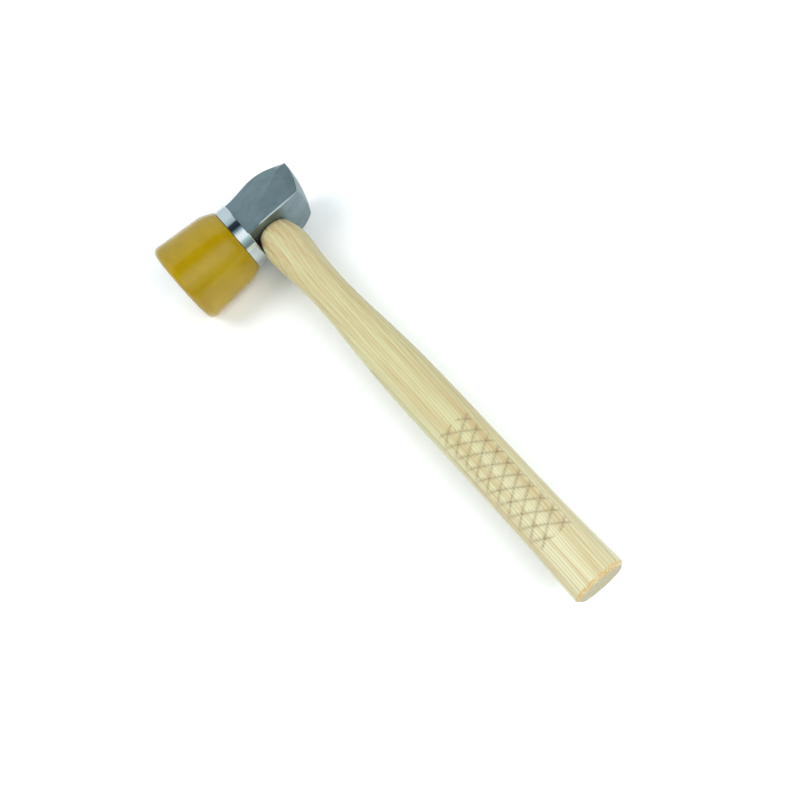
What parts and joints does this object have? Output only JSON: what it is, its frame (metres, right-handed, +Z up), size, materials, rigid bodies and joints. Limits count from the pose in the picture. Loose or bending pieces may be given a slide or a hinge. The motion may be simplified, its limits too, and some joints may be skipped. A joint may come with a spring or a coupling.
{
  "type": "dead blow mallet",
  "caption": "Hand mallet with a square steel poll, an amber urethane face holding loose steel shot behind a bright ring, and a wedged oval ash handle.",
  "frame": {"origin": "centre of the mallet's footprint, on the surface it lies on", "axes": "+X along the head from the urethane face to the steel poll, +Y up the handle from the butt to the head, +Z up out of the cheek it lies with uppermost"},
  "size_m": [0.1089, 0.364, 0.06],
  "materials": {
    "forged_steel": "satin, blue-grey",
    "bright_steel": "turned and plated, mirror bright",
    "amber_urethane": "cast, glossy, slightly translucent",
    "plain_steel": "turned, oiled",
    "seal_rubber": "matte",
    "steel_shot": "dull, oiled",
    "ash_wood": "sanded, clear lacquer",
    "wedge_wood": "split, unfinished"
  },
  "bodies": {
    "mallet": {"head_body": "forged_steel", "shot_canister": "bright_steel", "urethane_face": "amber_urethane", "canister_cap": "plain_steel", "cap_seal": "seal_rubber", "handle": "ash_wood", "wooden_wedge": "wedge_wood", "ring_wedge": "plain_steel"},
    "shot": {"shot_charge": "steel_shot"}
  },
  "joints": [
    {"name": "shot_slide", "type": "slide", "parent": "mallet", "child": "shot", "axis": [1, 0, 0], "range_m": [-0.00946, 0]}
  ]
}
